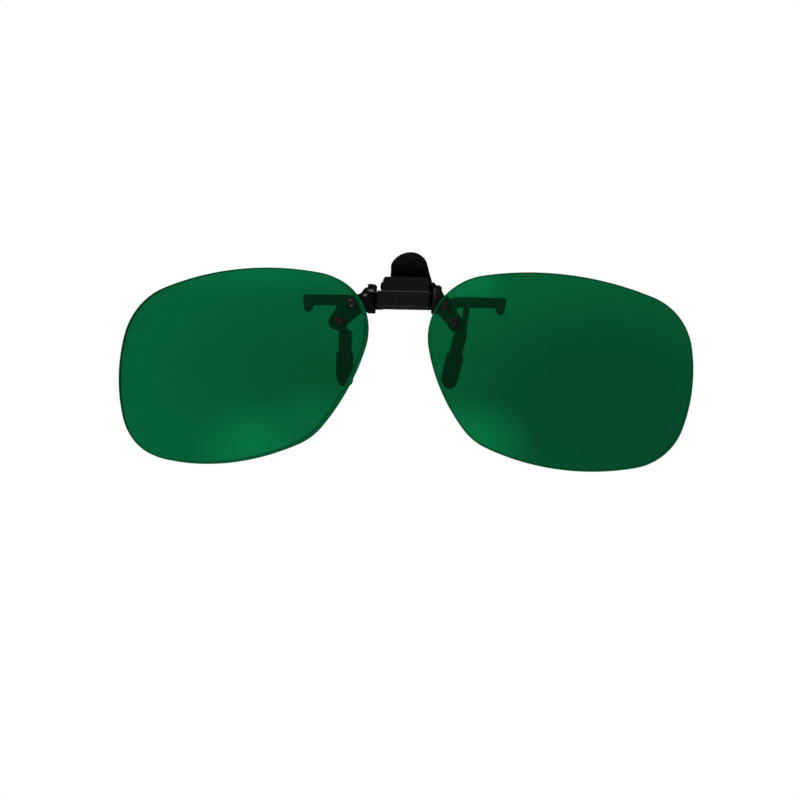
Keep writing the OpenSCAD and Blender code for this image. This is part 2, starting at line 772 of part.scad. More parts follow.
// Torsion spring: leg from the box's front wall, whole turns round the pin, leg to the lever
curls = 6;
ring_n = 6;
steps = 8;
coil_x = -curls * coil_pitch / 2;
coil_centre = [0, lever_y, lever_z];
wire_front = box_front + box_wall + face_gap;
wire_rear = tab_front - spring_gap;
coil_points = [
    for (i = [0:curls * steps])
        let(a = 360 * i / steps, x = coil_x + coil_pitch * i / steps)
        coil_centre + [x, coil_r * sin(a), coil_r * cos(a)]
];
coil_radials = [for (i = [0:curls * steps]) let(a = 360 * i / steps) [0, sin(a), cos(a)]];
wire_top = lever_z + coil_r;
wire_points = concat(
    [[coil_x, wire_front, wire_top], [coil_x, wire_front + wire_d, wire_top]],
    coil_points, [[-coil_x, wire_rear - wire_d, wire_top], [-coil_x, wire_rear, wire_top]]
);
wire_radials = concat([[0, 0, 1], [0, 0, 1]], coil_radials, [[0, 0, 1], [0, 0, 1]]);
wire_last = len(wire_points) - 1;
wire_rings = [
    for (i = [0:wire_last])
        let(
            along = unit(wire_points[min(i + 1, wire_last)] - wire_points[max(i - 1, 0)]),
            up = wire_radials[i], across = cross(along, up)
        )
        for (k = [0:ring_n - 1])
            wire_points[i] + wire_d / 2 * (cos(360 * k / ring_n) * up + sin(360 * k / ring_n) * across)
];
function ring_point(i, k) = i * ring_n + k % ring_n;
wire_faces = concat(
    [for (i = [0:wire_last - 1], k = [0:ring_n - 1])
        [ring_point(i, k), ring_point(i + 1, k), ring_point(i + 1, k + 1)]],
    [for (i = [0:wire_last - 1], k = [0:ring_n - 1])
        [ring_point(i, k), ring_point(i + 1, k + 1), ring_point(i, k + 1)]],
    [for (k = [1:ring_n - 2]) [ring_point(0, 0), ring_point(0, k), ring_point(0, k + 1)]],
    [for (k = [1:ring_n - 2])
        [ring_point(wire_last, 0), ring_point(wire_last, k + 1), ring_point(wire_last, k)]]
);
self_gap = min([
    for (i = [0:wire_last], j = [i + steps / 2 + 1:1:wire_last]) norm(wire_points[i] - wire_points[j])
]) - wire_d;
echo(spring_self_gap = self_gap);

module torsion_spring() {
    color(steel) polyhedron(points = wire_rings, faces = wire_faces);
}

housing();
front_jaw();
hook_pad(-1);  // hook_pad_left
hook_pad(1);  // hook_pad_right
front_rivet(-1);  // front_rivet_left
front_rivet(1);  // front_rivet_right
lever_pin();
friction_washer(-1);  // friction_washer_left
friction_washer(1);  // friction_washer_right
torsion_spring();
flip_pin();
lens_bracket(-1);  // lens_bracket_left
lens_bracket(1);  // lens_bracket_right
lens(-1);  // lens_left
lens(1);  // lens_right
lens_screw(-1, true);  // lens_screw_left_upper
lens_screw(-1, false);  // lens_screw_left_lower
lens_screw(1, true);  // lens_screw_right_upper
lens_screw(1, false);  // lens_screw_right_lower
lens_washer(-1, true);  // lens_washer_left_upper
lens_washer(-1, false);  // lens_washer_left_lower
lens_washer(1, true);  // lens_washer_right_upper
lens_washer(1, false);  // lens_washer_right_lower
lens_nut(-1, true);  // lens_nut_left_upper
lens_nut(-1, false);  // lens_nut_left_lower
lens_nut(1, true);  // lens_nut_right_upper
lens_nut(1, false);  // lens_nut_right_lower
thumb_lever();
rear_jaw();
rear_rivet(-1);  // rear_rivet_left
rear_rivet(1);  // rear_rivet_right
leg_sleeve(-1);  // leg_sleeve_left
leg_sleeve(1);  // leg_sleeve_right
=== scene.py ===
"""Clip-on laser safety lenses, flipped down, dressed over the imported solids.

Metres throughout: X to the photograph's right, Y towards the wearer, Z up.
"""

import json
import math

import bmesh
import bpy
from mathutils import Matrix, Vector


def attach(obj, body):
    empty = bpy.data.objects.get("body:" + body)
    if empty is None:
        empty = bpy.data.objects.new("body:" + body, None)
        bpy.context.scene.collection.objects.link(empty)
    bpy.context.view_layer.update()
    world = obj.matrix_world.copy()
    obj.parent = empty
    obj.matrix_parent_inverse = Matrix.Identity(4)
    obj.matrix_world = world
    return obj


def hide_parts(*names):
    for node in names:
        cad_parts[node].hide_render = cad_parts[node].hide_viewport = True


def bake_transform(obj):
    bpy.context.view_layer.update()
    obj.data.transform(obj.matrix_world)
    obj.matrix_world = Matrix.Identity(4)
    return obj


MM = 0.001
SIDES = {"left": -1, "right": 1}

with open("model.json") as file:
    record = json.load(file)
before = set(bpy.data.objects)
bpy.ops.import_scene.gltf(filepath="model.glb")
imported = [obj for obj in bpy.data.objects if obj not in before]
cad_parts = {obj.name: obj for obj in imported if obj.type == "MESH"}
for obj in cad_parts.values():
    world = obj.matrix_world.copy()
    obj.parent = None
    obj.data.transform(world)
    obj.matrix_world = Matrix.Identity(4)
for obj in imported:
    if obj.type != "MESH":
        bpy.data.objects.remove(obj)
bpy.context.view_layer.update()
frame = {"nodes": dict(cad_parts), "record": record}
BODY_OF = {
    node: body for body, nodes in frame["record"]["behaviour"]["bodies"].items() for node in nodes
}

# The camera: the photograph looks a little from the wearer's left and from below
VIEW_YAW = math.radians(15)
VIEW_PITCH = math.radians(-10)
VIEW_ROLL = math.radians(3.8)
VIEW_DISTANCE = 6.0
SENSOR = 36
CLIP_START = 0.1
CLIP_END = 100
# The photograph's scale and width, and the pixel where the middle of the hinge falls
PIXEL = 0.23 * MM
IMAGE_SIZE = 800
HINGE_AT = (405.0, 299.4)
HINGE_POINT = Vector((0, -1.6 * MM, 0))


def place_camera():
    """Puts the photograph's camera so that the hinge falls on its place in the frame."""
    y, p, r = VIEW_YAW, VIEW_PITCH, VIEW_ROLL
    level = Vector((math.cos(y), math.sin(y), 0))
    look = Vector((-math.sin(y) * math.cos(p), math.cos(y) * math.cos(p), -math.sin(p)))
    upright = level.cross(look)
    right = math.cos(r) * level + math.sin(r) * upright
    up = math.cos(r) * upright - math.sin(r) * level
    middle = IMAGE_SIZE / 2
    target = HINGE_POINT + PIXEL * ((middle - HINGE_AT[0]) * right + (HINGE_AT[1] - middle) * up)
    data = bpy.data.cameras.new("camera")
    data.sensor_width = SENSOR
    data.lens = VIEW_DISTANCE * SENSOR / (IMAGE_SIZE * PIXEL)
    data.clip_start = CLIP_START
    data.clip_end = CLIP_END
    camera = bpy.data.objects.new("camera", data)
    turn = Matrix((right, up, -look)).transposed().to_4x4()
    camera.matrix_world = Matrix.Translation(target - VIEW_DISTANCE * look) @ turn
    bpy.context.scene.collection.objects.link(camera)
    bpy.context.scene.camera = camera
    return right, up, look


VIEW_RIGHT, VIEW_UP, VIEW_LOOK = place_camera()
bpy.context.scene.view_settings.view_transform = "Standard"


# Small helpers for the materials
# The Mix node's colour inputs and output, by number because its other kinds share their names
MIX_A = 6
MIX_B = 7
MIXED = 2


def linear(hex_colour):
    """Linear RGBA of an sRGB hex colour, by the curve that the sRGB standard gives."""
    parts = [int(hex_colour[i : i + 2], 16) / 255 for i in (0, 2, 4)]
    return [c / 12.92 if c <= 0.04045 else ((c + 0.055) / 1.055) ** 2.4 for c in parts] + [1.0]


def noise_scale(size_mm):
    """Scale of a noise on Object coordinates whose lumps measure about size_mm."""
    return 1 / (size_mm * MM)


def fill_inputs(tree, node, inputs):
    """Sets a node's inputs; one that is given as a socket is linked."""
    for key, value in inputs.items():
        if isinstance(value, bpy.types.NodeSocket):
            tree.links.new(value, node.inputs[key])
        else:
            node.inputs[key].default_value = value


def add_node(tree, kind, output, inputs=None, settings=None, stops=()):
    """Adds a node with its inputs and settings and gives one of its outputs. The stops are a
    colour ramp's: each is a position with a hex colour or a grey value."""
    node = tree.nodes.new(kind)
    for key, value in (settings or {}).items():
        setattr(node, key, value)
    fill_inputs(tree, node, inputs or {})
    if stops:
        elements = node.color_ramp.elements
        while len(elements) < len(stops):
            elements.new(0.5)
        for element, (position, value) in zip(elements, stops):
            element.position = position
            element.color = linear(value) if isinstance(value, str) else (value, value, value, 1)
    return node.outputs[output]


def new_material(name):
    """A material, its node tree and its Principled shader."""
    material = bpy.data.materials.new(name)
    material.use_nodes = True
    tree = material.node_tree
    return material, tree, tree.nodes["Principled BSDF"]


def patch_field(tree, centre, reach):
    """0 at a point seen from the front, 1 on an ellipse round it; sizes in mm as X and Z."""
    place = add_node(
        tree,
        "ShaderNodeMapping",
        "Vector",
        {
            "Vector": add_node(tree, "ShaderNodeTexCoord", "Object"),
            "Location": (centre[0] * MM, 0, centre[1] * MM),
            "Scale": (reach[0] * MM, 1, reach[1] * MM),
        },
        {"vector_type": "TEXTURE"},
    )
    flat = add_node(
        tree,
        "ShaderNodeVectorMath",
        "Vector",
        {0: place, 1: (1, 0, 1)},
        {"operation": "MULTIPLY"},
    )
    return add_node(tree, "ShaderNodeVectorMath", "Value", {0: flat}, {"operation": "LENGTH"})


def lay_patches(tree, colour, patches, core):
    """Soft elliptic patches laid on a colour. Each is a centre and a reach in mm and a hex colour,
    which is full as far as the share core of the reach."""
    for centre, reach, patch_colour in patches:
        spot = add_node(
            tree,
            "ShaderNodeValToRGB",
            "Color",
            {"Fac": patch_field(tree, centre, reach)},
            stops=[(core, 1.0), (1.0, 0.0)],
        )
        colour = add_node(
            tree,
            "ShaderNodeMix",
            MIXED,
            {"Factor": spot, MIX_A: colour, MIX_B: linear(patch_colour)},
            {"data_type": "RGBA"},
        )
    return colour


# The materials
# Painted highlights: soft patches, full as far as this share of their reach, in grey on the left
# bracket's bend and in pale steel at a screw's slot
HIGHLIGHT_CORE = 0.3
BEND_HIGHLIGHT_GREY = "7c807e"
SLOT_HIGHLIGHT_STEEL = "827d7b"


def stoving_enamel(name, dark, light, painted_highlights=()):
    """Black stoving enamel on stamped steel: sprayed and baked, so it is smooth and glossy with a
    faint orange peel, a cloudy gloss where it was handled, and painted highlights laid on as
    patches."""
    material, tree, shader = new_material(name)
    place = add_node(tree, "ShaderNodeTexCoord", "Object")
    cloud = add_node(
        tree,
        "ShaderNodeTexNoise",
        "Fac",
        {"Vector": place, "Scale": noise_scale(3), "Detail": 3},
    )
    coat = add_node(
        tree,
        "ShaderNodeValToRGB",
        "Color",
        {"Fac": cloud},
        stops=[(0.35, dark), (0.65, light)],
    )
    handled = add_node(
        tree,
        "ShaderNodeTexNoise",
        "Fac",
        {"Vector": place, "Scale": noise_scale(1.2), "Detail": 4, "Roughness": 0.6},
    )
    gloss = add_node(
        tree,
        "ShaderNodeValToRGB",
        "Color",
        {"Fac": handled},
        stops=[(0.3, 0.24), (0.75, 0.34)],
    )
    peel = add_node(
        tree,
        "ShaderNodeTexNoise",
        "Fac",
        {"Vector": place, "Scale": noise_scale(0.6), "Detail": 1},
    )
    relief = add_node(
        tree,
        "ShaderNodeBump",
        "Normal",
        {"Height": peel, "Distance": 0.0015 * MM, "Strength": 0.3},
    )
    inputs = {
        "Base Color": lay_patches(tree, coat, painted_highlights, HIGHLIGHT_CORE),
        "Roughness": gloss,
        "Specular IOR Level": 0.3,
        "IOR": 1.5,
        "Normal": relief,
    }
    fill_inputs(tree, shader, inputs)
    return material


def soft_rubber():
    """Moulded black nitrile rubber: matt, slightly grey from bloom, with a fine eroded grain."""
    material, tree, shader = new_material("Moulded black rubber")
    place = add_node(tree, "ShaderNodeTexCoord", "Object")
    bloom = add_node(
        tree,
        "ShaderNodeTexNoise",
        "Fac",
        {"Vector": place, "Scale": noise_scale(2), "Detail": 4},
    )
    skin = add_node(
        tree,
        "ShaderNodeValToRGB",
        "Color",
        {"Fac": bloom},
        stops=[(0.3, "141615"), (0.7, "1e2120")],
    )
    matt = add_node(
        tree,
        "ShaderNodeValToRGB",
        "Color",
        {"Fac": bloom},
        stops=[(0.3, 0.62), (0.7, 0.8)],
    )
    # The mould's grain is about 0.05 mm; it is drawn at 0.12 mm so that it shows
    grain = add_node(
        tree,
        "ShaderNodeTexNoise",
        "Fac",
        {"Vector": place, "Scale": noise_scale(0.12), "Detail": 2},
    )
    relief = add_node(
        tree,
        "ShaderNodeBump",
        "Normal",
        {"Height": grain, "Distance": 0.012 * MM, "Strength": 0.7},
    )
    inputs = {
        "Base Color": skin,
        "Roughness": matt,
        "Specular IOR Level": 0.3,
        "IOR": 1.5,
        "Normal": relief,
    }
    fill_inputs(tree, shader, inputs)
    return material


def blackened_steel():
    """Oil-blackened spring steel: dark brown-black oxide on bright metal, silky and uneven."""
    material, tree, shader = new_material("Oil-blackened steel")
    place = add_node(tree, "ShaderNodeTexCoord", "Object")
    patch = add_node(
        tree,
        "ShaderNodeTexNoise",
        "Fac",
        {"Vector": place, "Scale": noise_scale(0.8), "Detail": 4, "Roughness": 0.6},
    )
    oxide = add_node(
        tree,
        "ShaderNodeValToRGB",
        "Color",
        {"Fac": patch},
        stops=[(0.3, "100f0e"), (0.6, "181615"), (0.85, "231f1e")],
    )
    sheen = add_node(
        tree,
        "ShaderNodeValToRGB",
        "Color",
        {"Fac": patch},
        stops=[(0.3, 0.4), (0.7, 0.55)],
    )
    etch = add_node(
        tree,
        "ShaderNodeTexNoise",
        "Fac",
        {"Vector": place, "Scale": noise_scale(0.1), "Detail": 2},
    )
    relief = add_node(
        tree,
        "ShaderNodeBump",
        "Normal",
        {"Height": etch, "Distance": 0.004 * MM, "Strength": 0.5},
    )
    inputs = {"Base Color": oxide, "Metallic": 1.0, "Roughness": sheen, "Normal": relief}
    fill_inputs(tree, shader, inputs)
    return material


def screw_steel(name, painted_highlights=()):
    """Small turned screws, blackened and worn to a dark red-brown: fine tool marks and a low
    sheen, with painted highlights laid on as pale patches where given."""
    material, tree, shader = new_material(name)
    place = add_node(tree, "ShaderNodeTexCoord", "Object")
    patch = add_node(
        tree,
        "ShaderNodeTexNoise",
        "Fac",
        {"Vector": place, "Scale": noise_scale(0.5), "Detail": 3},
    )
    brown = add_node(
        tree,
        "ShaderNodeValToRGB",
        "Color",
        {"Fac": patch},
        stops=[(0.3, "2a2726"), (0.7, "3b3836")],
    )
    # Tool marks of 0.02 mm feed, drawn at 0.06 mm so that they show
    turned = add_node(tree, "ShaderNodeMapping", "Vector", {"Vector": place, "Scale": (1, 6, 1)})
    marks = add_node(
        tree,
        "ShaderNodeTexNoise",
        "Fac",
        {"Vector": turned, "Scale": noise_scale(0.06), "Detail": 1},
    )
    sheen = add_node(
        tree,
        "ShaderNodeValToRGB",
        "Color",
        {"Fac": marks},
        stops=[(0.3, 0.22), (0.7, 0.36)],
    )
    relief = add_node(
        tree,
        "ShaderNodeBump",
        "Normal",
        {"Height": marks, "Distance": 0.003 * MM, "Strength": 0.5},
    )
    inputs = {
        "Base Color": lay_patches(tree, brown, painted_highlights, HIGHLIGHT_CORE),
        "Metallic": 0.35,
        "Roughness": sheen,
        "Normal": relief,
    }
    fill_inputs(tree, shader, inputs)
    return material


def smoky_nylon():
    """Smoky nylon 6 of the washers: a dark, milky body with a soft moulded sheen."""
    material, tree, shader = new_material("Smoky nylon")
    place = add_node(tree, "ShaderNodeTexCoord", "Object")
    milk = add_node(
        tree,
        "ShaderNodeTexNoise",
        "Fac",
        {"Vector": place, "Scale": noise_scale(0.6), "Detail": 3},
    )
    body = add_node(
        tree,
        "ShaderNodeValToRGB",
        "Color",
        {"Fac": milk},
        stops=[(0.3, "1a1a18"), (0.7, "24231f")],
    )
    sheen = add_node(
        tree,
        "ShaderNodeValToRGB",
        "Color",
        {"Fac": milk},
        stops=[(0.3, 0.35), (0.7, 0.5)],
    )
    skin = add_node(
        tree,
        "ShaderNodeTexNoise",
        "Fac",
        {"Vector": place, "Scale": noise_scale(0.15), "Detail": 2},
    )
    relief = add_node(
        tree,
        "ShaderNodeBump",
        "Normal",
        {"Height": skin, "Distance": 0.004 * MM, "Strength": 0.5},
    )
    inputs = {
        "Base Color": body,
        "Roughness": sheen,
        "Specular IOR Level": 0.2,
        "IOR": 1.53,
        "Normal": relief,
    }
    fill_inputs(tree, shader, inputs)
    return material


def dyed_polycarbonate(word, centre, reach, shades, glows):
    """Dyed polycarbonate, injection moulded and polished: clear through and dyed green, with a
    painted falloff that is deepest in the middle and lighter towards the edge, painted glows laid
    on it, and matt on the ground rim, which hides what is behind it."""
    material, tree, shader = new_material("Dyed polycarbonate " + word)
    place = add_node(tree, "ShaderNodeTexCoord", "Object")
    # The dyeing is a little cloudy over 22 mm, which makes the bounds of the painted falloff uneven
    # by a tenth either way
    cloud = add_node(
        tree,
        "ShaderNodeTexNoise",
        "Fac",
        {"Vector": place, "Scale": noise_scale(22), "Detail": 1},
    )
    uneven = add_node(
        tree,
        "ShaderNodeMath",
        "Value",
        {0: cloud, 1: 0.2, 2: -0.1},
        {"operation": "MULTIPLY_ADD"},
    )
    away = add_node(
        tree,
        "ShaderNodeMath",
        "Value",
        {0: patch_field(tree, centre, reach), 1: uneven},
        {"operation": "ADD"},
    )
    dye_and_painted_falloff = add_node(tree, "ShaderNodeValToRGB", "Color", {"Fac": away}, stops=shades)
    rim = add_node(tree, "ShaderNodeAttribute", "Fac", settings={"attribute_name": "rim"})
    edge = add_node(
        tree,
        "ShaderNodeValToRGB",
        "Color",
        {"Fac": rim},
        stops=[(0.5, "02452a"), (1.0, "03683d")],
    )
    green = add_node(
        tree,
        "ShaderNodeMix",
        MIXED,
        {"Factor": rim, MIX_A: lay_patches(tree, dye_and_painted_falloff, glows, 0.0), MIX_B: edge},
        {"data_type": "RGBA"},
    )
    clear = add_node(
        tree,
        "ShaderNodeValToRGB",
        "Color",
        {"Fac": rim},
        stops=[(0.0, 0.82), (0.4, 0.0)],
    )
    ground = add_node(
        tree,
        "ShaderNodeValToRGB",
        "Color",
        {"Fac": rim},
        stops=[(0.0, 0.015), (0.6, 0.45)],
    )
    gloss = add_node(
        tree,
        "ShaderNodeValToRGB",
        "Color",
        {"Fac": rim},
        stops=[(0.0, 0.5), (0.3, 0.0)],
    )
    # Moulding leaves soft waves about 14 mm long in the surface
    waves = add_node(
        tree,
        "ShaderNodeTexNoise",
        "Fac",
        {"Vector": place, "Scale": noise_scale(14), "Detail": 1},
    )
    relief = add_node(
        tree,
        "ShaderNodeBump",
        "Normal",
        {"Height": waves, "Distance": 0.01 * MM, "Strength": 0.5},
    )
    inputs = {
        "Base Color": green,
        "Transmission Weight": clear,
        "Roughness": ground,
        "Specular IOR Level": gloss,
        "IOR": 1.585,
        "Normal": relief,
    }
    fill_inputs(tree, shader, inputs)
    return material


ENAMEL = stoving_enamel("Black stoving enamel", "181c1b", "1d2120")
# The left bracket: the enamel darkened as painted shade, with two painted highlights on the bend
LEFT_BRACKET_SHADE_AND_HIGHLIGHT_ENAMEL = stoving_enamel(
    "Black stoving enamel rubbed at the bend",
    "0d0f0e",
    "121413",
    [((-7.6, 1.5), (0.9, 0.42), BEND_HIGHLIGHT_GREY), ((-8.8, 0.35), (0.6, 0.45), BEND_HIGHLIGHT_GREY)],
)
# The right bracket: the enamel darkened as painted shade
BRACKET_SHADE_ENAMEL = stoving_enamel("Black stoving enamel of the bracket", "101211", "151716")
# The thumb lever: the enamel darkened as painted shade
LEVER_SHADE_ENAMEL = stoving_enamel("Black stoving enamel darkened as painted shade on the lever", "090a0a", "0d0e0e")
RUBBER = soft_rubber()
BLACKENED = blackened_steel()
SCREW = screw_steel("Browned screw steel")
# The upper left screw: two painted highlights at the ends of its slot
SCREW_WITH_SLOT_HIGHLIGHTS = screw_steel(
    "Browned screw steel with painted highlights at the slot",
    [((-11.4, -1.45), (0.42, 0.36), SLOT_HIGHLIGHT_STEEL), ((-11.05, -2.95), (0.42, 0.36), SLOT_HIGHLIGHT_STEEL)],
)
NYLON = smoky_nylon()
# Each lens: centre and reach of a painted falloff, its dyed greens from deep to lighter, and
# painted glows laid on as lighter patches
LENS_GREEN = {
    "left": dyed_polycarbonate(
        "left",
        (-16, -18),
        (50, 26),
        [(0.1, "015d33"), (0.4, "016239"), (0.65, "02653b"), (0.92, "026b3e")],
        [
            ((-33, -35), (15, 10), "05824a"),
            ((-20, -29), (11, 8), "057141"),
            ((-36, 7), (36, 7), "037a49"),
        ],
    ),
    "right": dyed_polycarbonate(
        "right",
        (50, -24),
        (44, 30),
        [(0.35, "045330"), (0.55, "045733"), (0.8, "036035"), (1.0, "026739")],
        [((18, -34), (16, 11), "06844b"), ((15, 4), (11, 7), "06864d")],
    ),
}


# Small helpers for the meshes
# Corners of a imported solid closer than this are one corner
WELD = 0.0005 * MM
FLAT_WITHIN = math.radians(0.5)


def finish_piece(name, bm, material, node):
    """Makes an object of bm, with its place in its mesh, and puts it in place of the node."""
    mesh = bpy.data.meshes.new(name)
    bmesh.ops.recalc_face_normals(bm, faces=bm.faces)
    for face in bm.faces:
        face.smooth = True
    bm.to_mesh(mesh)
    bm.free()
    mesh.materials.append(material)
    piece = bpy.data.objects.new(name, mesh)
    bpy.context.scene.collection.objects.link(piece)
    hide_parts(node)
    return piece


def node_copy(node):
    """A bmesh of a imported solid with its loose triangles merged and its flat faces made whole."""
    bm = bmesh.new()
    bm.from_mesh(frame["nodes"][node].data)
    bmesh.ops.remove_doubles(bm, verts=bm.verts, dist=WELD)
    bmesh.ops.dissolve_limit(bm, angle_limit=FLAT_WITHIN, verts=bm.verts, edges=bm.edges)
    return bm


def edges_round(verts):
    """The edges at the vertices, each once and in an order that is the same in every run."""
    return list(dict.fromkeys(edge for vert in verts for edge in vert.link_edges))


def soften_node(node, material, slot, width_mm, segments=3, angle=28):
    """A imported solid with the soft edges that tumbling, paint or moulding leaves on it, wherever
    it turns by more than the angle in degrees."""
    piece = finish_piece(node + "_finished", node_copy(node), material, node)
    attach(piece, BODY_OF[node])
    edge = piece.modifiers.new("edge", "BEVEL")
    edge.width = width_mm * MM
    edge.segments = segments
    edge.limit_method = "ANGLE"
    edge.angle_limit = math.radians(angle)
    edge.harden_normals = True
    edge.use_clamp_overlap = True


# The clip's parts: node, material, slot of the record, and width in mm of the soft edge. The
# sleeves have rounder edges, of more segments, and only where they turn by more than 40 degrees
SOFTENED = [
    ("housing", ENAMEL, "black_enamel", 0.14),
    ("front_jaw", ENAMEL, "black_enamel", 0.16),
    ("rear_jaw", ENAMEL, "black_enamel", 0.14),
    # The lever and the brackets take enamels darkened as painted shade, the left bracket painted
    # highlights too
    ("thumb_lever", LEVER_SHADE_ENAMEL, "black_enamel", 0.16),
    ("lens_bracket_left", LEFT_BRACKET_SHADE_AND_HIGHLIGHT_ENAMEL, "black_enamel", 0.14),
    ("lens_bracket_right", BRACKET_SHADE_ENAMEL, "black_enamel", 0.14),
    ("hook_pad_left", RUBBER, "black_rubber", 0.12),
    ("hook_pad_right", RUBBER, "black_rubber", 0.12),
    ("leg_sleeve_left", RUBBER, "black_rubber", 0.45, 4, 40),
    ("leg_sleeve_right", RUBBER, "black_rubber", 0.45, 4, 40),
    ("front_rivet_left", BLACKENED, "blackened_steel", 0.08),
    ("front_rivet_right", BLACKENED, "blackened_steel", 0.08),
    ("rear_rivet_left", BLACKENED, "blackened_steel", 0.08),
    ("rear_rivet_right", BLACKENED, "blackened_steel", 0.08),
    ("lever_pin", BLACKENED, "blackened_steel", 0.08),
    ("flip_pin", BLACKENED, "blackened_steel", 0.08),
    ("friction_washer_left", BLACKENED, "blackened_steel", 0.08),
    ("friction_washer_right", BLACKENED, "blackened_steel", 0.08),
]
for place in ("left_upper", "left_lower", "right_upper", "right_lower"):
    # The upper left screw head takes the painted highlights at its slot
    head = SCREW_WITH_SLOT_HIGHLIGHTS if place == "left_upper" else SCREW
    SOFTENED += [
        ("lens_screw_" + place, head, "screw_steel", 0.05),
        ("lens_nut_" + place, SCREW, "screw_steel", 0.07),
        ("lens_washer_" + place, NYLON, "nylon", 0.05),
    ]
for finish in SOFTENED:
    soften_node(*finish)


# The spring, wound round the lever pin from its leg at the front to its leg on the lever
LEVER_AXIS = Vector((0, 0.6, 3.3)) * MM
WIRE_RADIUS = 0.25 * MM
WIRE_SIDES = 14
WIRE_FRONT = -0.97 * MM
WIRE_REAR = 2.65 * MM
LEG_STEPS = 6
CURL_RADIUS = 1.2 * MM
CURL_PITCH = 1.05 * MM
CURLS = 6
CURL_STEPS = 28


def wind_spring():
    """Torsion spring: a straight leg, six curls round the lever pin and a leg to the lever."""
    bm = bmesh.new()
    half = CURLS * CURL_PITCH / 2
    wire = bmesh.ops.create_circle(bm, cap_ends=True, segments=WIRE_SIDES, radius=WIRE_RADIUS)
    turn = Matrix.Rotation(math.radians(90), 4, "X")
    start = Matrix.Translation((-half, WIRE_FRONT, LEVER_AXIS.z + CURL_RADIUS))
    bmesh.ops.transform(bm, matrix=start @ turn, verts=wire["verts"])

    def draw_leg(edges, length):
        for _ in range(LEG_STEPS):
            grown = bmesh.ops.extrude_edge_only(bm, edges=edges)["geom"]
            verts = [g for g in grown if isinstance(g, bmesh.types.BMVert)]
            bmesh.ops.translate(bm, vec=(0, length / LEG_STEPS, 0), verts=verts)
            edges = [g for g in grown if isinstance(g, bmesh.types.BMEdge)]
            edges = [e for e in edges if all(v in verts for v in e.verts)]
        return edges

    edges = draw_leg(edges_round(wire["verts"]), LEVER_AXIS.y - WIRE_FRONT)
    curled = bmesh.ops.spin(
        bm,
        geom=edges,
        cent=LEVER_AXIS,
        axis=(1, 0, 0),
        dvec=(CURL_PITCH / CURL_STEPS, 0, 0),
        angle=-math.radians(360 * CURLS),
        steps=CURLS * CURL_STEPS,
        use_merge=False,
    )["geom_last"]
    edges = [g for g in curled if isinstance(g, bmesh.types.BMEdge)]
    edges = draw_leg(edges, WIRE_REAR - LEVER_AXIS.y)
    bmesh.ops.contextual_create(bm, geom=edges)
    bmesh.ops.remove_doubles(bm, verts=bm.verts, dist=WELD)
    spring = finish_piece(
        "torsion_spring_wound", bm, BLACKENED, "torsion_spring"
    )
    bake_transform(spring)


wind_spring()

# The outline of the right lens in its own plane, in mm: four corner circles of one radius, and
# between them four flatter arcs, each touching two corners
CORNER_R = 14.3
CORNERS = [
    Vector((15.1, 4.4)),
    Vector((-17.4, 7.0)),
    Vector((-11.1, -5.7)),
    Vector((14.5, -7.8)),
]
SIDE_R = [80, 44.5, 55, 39.5]
ARC_STEPS = 60
OUTLINE_POINTS = 192
# The lens itself: spheres with one centre for its front and back, and its place on the clip
LENS_R = 130 * MM
LENS_T = 2 * MM
LENS_FRONT = Vector((39.4, -5.9, -16)) * MM
LENS_WRAP = math.radians(9.8)
# The rim's rounding, as a share of the way from the lens's middle to its edge
RIM_ROUND = 0.28 * MM
LENS_REACH = 30 * MM
RIM_SHARE = RIM_ROUND / LENS_REACH
# Rings of each face from its edge inwards, as shares of the outline
FACE_RINGS = [1 - RIM_SHARE, 1 - 1.4 * RIM_SHARE, 0.97, 0.9, 0.8, 0.68, 0.54, 0.4, 0.26, 0.13, 0.04]
# Rings of the rim from front to back: share of the thickness, and how much the ring is rim
RIM_RINGS = [(0.04, 0.5), (0.1, 0.7), (0.2, 1.0), (0.8, 1.0), (0.9, 0.7), (0.96, 0.5)]
# How much the outermost ring of a face is rim
FACE_EDGE_SHADE = 0.35


def side_centre(p, q, r):
    """Centre of the arc of radius r that both corner circles touch from inside."""
    half = (q - p).length / 2
    away = math.sqrt((r - CORNER_R) ** 2 - half**2)
    d = (q - p).normalized()
    return (p + q) / 2 + away * Vector((-d.y, d.x))


def arc(centre, radius, start, end):
    """Points on an arc from the angle start up to the angle end, which is left to the next arc."""
    angles = [start + (end - start) * k / ARC_STEPS for k in range(ARC_STEPS)]
    return [centre + radius * Vector((math.cos(a), math.sin(a))) for a in angles]


def lens_outline():
    """Even points round the lens in its own plane, in metres."""
    centres = [side_centre(CORNERS[i], CORNERS[(i + 1) % 4], SIDE_R[i]) for i in range(4)]

    def heading(a, b):
        return math.atan2(b.y - a.y, b.x - a.x)

    dense = []
    for i in range(4):
        first = heading(centres[i - 1], CORNERS[i])
        second = first + (heading(centres[i], CORNERS[i]) - first) % math.tau
        third = second + (heading(centres[i], CORNERS[(i + 1) % 4]) - second) % math.tau
        dense += arc(CORNERS[i], CORNER_R, first, second)
        dense += arc(centres[i], SIDE_R[i], second, third)
    lengths = [(dense[(k + 1) % len(dense)] - dense[k]).length for k in range(len(dense))]
    step = sum(lengths) / OUTLINE_POINTS
    points, walked, k = [], 0.0, 0
    for n in range(OUTLINE_POINTS):
        while walked + lengths[k] < n * step:
            walked += lengths[k]
            k += 1
        share = (n * step - walked) / lengths[k]
        points.append(dense[k].lerp(dense[(k + 1) % len(dense)], share) * MM)
    return points


